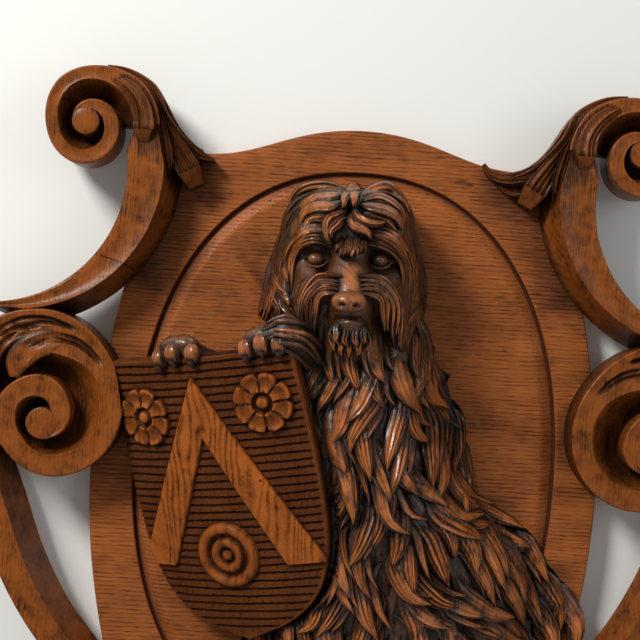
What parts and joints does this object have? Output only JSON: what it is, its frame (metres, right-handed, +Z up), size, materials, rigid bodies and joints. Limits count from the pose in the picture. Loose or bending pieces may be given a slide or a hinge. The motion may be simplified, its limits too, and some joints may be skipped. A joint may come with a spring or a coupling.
{
  "type": "carved wall coat of arms",
  "caption": "Carved oak wall plaque with an oval field, scrolled sides, and a long-haired dog holding a bowed shield with a chevron and roses.",
  "frame": {"origin": "on the board's back face, at the middle of the oval field", "axes": "+Z is up, +X is to the right seen from the front, and the front faces -Y"},
  "size_m": [0.6072, 0.1441, 0.5803],
  "materials": {
    "board_oak": "waxed oak, satin",
    "scroll_oak": "dark waxed oak, polished on the crests",
    "shield_oak": "waxed oak, satin",
    "dog_oak": "dark waxed oak, polished on the crests"
  },
  "bodies": {
    "root": {"board": "board_oak", "scroll_upper_left": "scroll_oak", "scroll_upper_right": "scroll_oak", "scroll_lower_left": "scroll_oak", "scroll_lower_right": "scroll_oak", "shield": "shield_oak", "dog": "dog_oak"}
  },
  "joints": []
}
